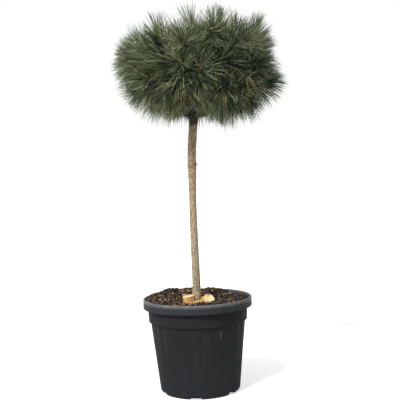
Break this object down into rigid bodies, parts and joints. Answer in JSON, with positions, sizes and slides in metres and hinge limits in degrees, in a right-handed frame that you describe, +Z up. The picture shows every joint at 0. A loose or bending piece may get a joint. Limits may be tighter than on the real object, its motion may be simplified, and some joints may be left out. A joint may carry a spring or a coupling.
{
  "type": "potted standard pine",
  "caption": "Grafted pine grown as a round natural head of long needles on a clear stem, in a round black nursery pot.",
  "frame": {"origin": "centre of the pot's flat underside", "axes": "+Z up along the stem; -Y is the side seen in the picture, +X to its right"},
  "size_m": [0.6348, 0.5905, 1.405],
  "materials": {
    "pot": "matte",
    "soil": "matte",
    "bark": "matte",
    "cut_wood": "matte",
    "needles": "matte"
  },
  "bodies": {
    "root": {"pot": "pot", "soil": "soil", "trunk": "bark", "leader": "bark", "stub_left": "cut_wood", "stub_right": "cut_wood", "bough_lower_1": "bark", "bough_lower_2": "bark", "bough_lower_3": "bark", "bough_lower_4": "bark", "bough_lower_5": "bark", "bough_lower_6": "bark", "bough_lower_7": "bark", "bough_lower_8": "bark", "bough_upper_1": "bark", "bough_upper_2": "bark", "bough_upper_3": "bark", "bough_upper_4": "bark", "bough_upper_5": "bark", "needles_lower_1": "needles", "needles_lower_2": "needles", "needles_lower_3": "needles", "needles_lower_4": "needles", "needles_lower_5": "needles", "needles_lower_6": "needles", "needles_lower_7": "needles", "needles_lower_8": "needles", "needles_upper_1": "needles", "needles_upper_2": "needles", "needles_upper_3": "needles", "needles_upper_4": "needles", "needles_upper_5": "needles", "needles_top": "needles"}
  },
  "joints": []
}
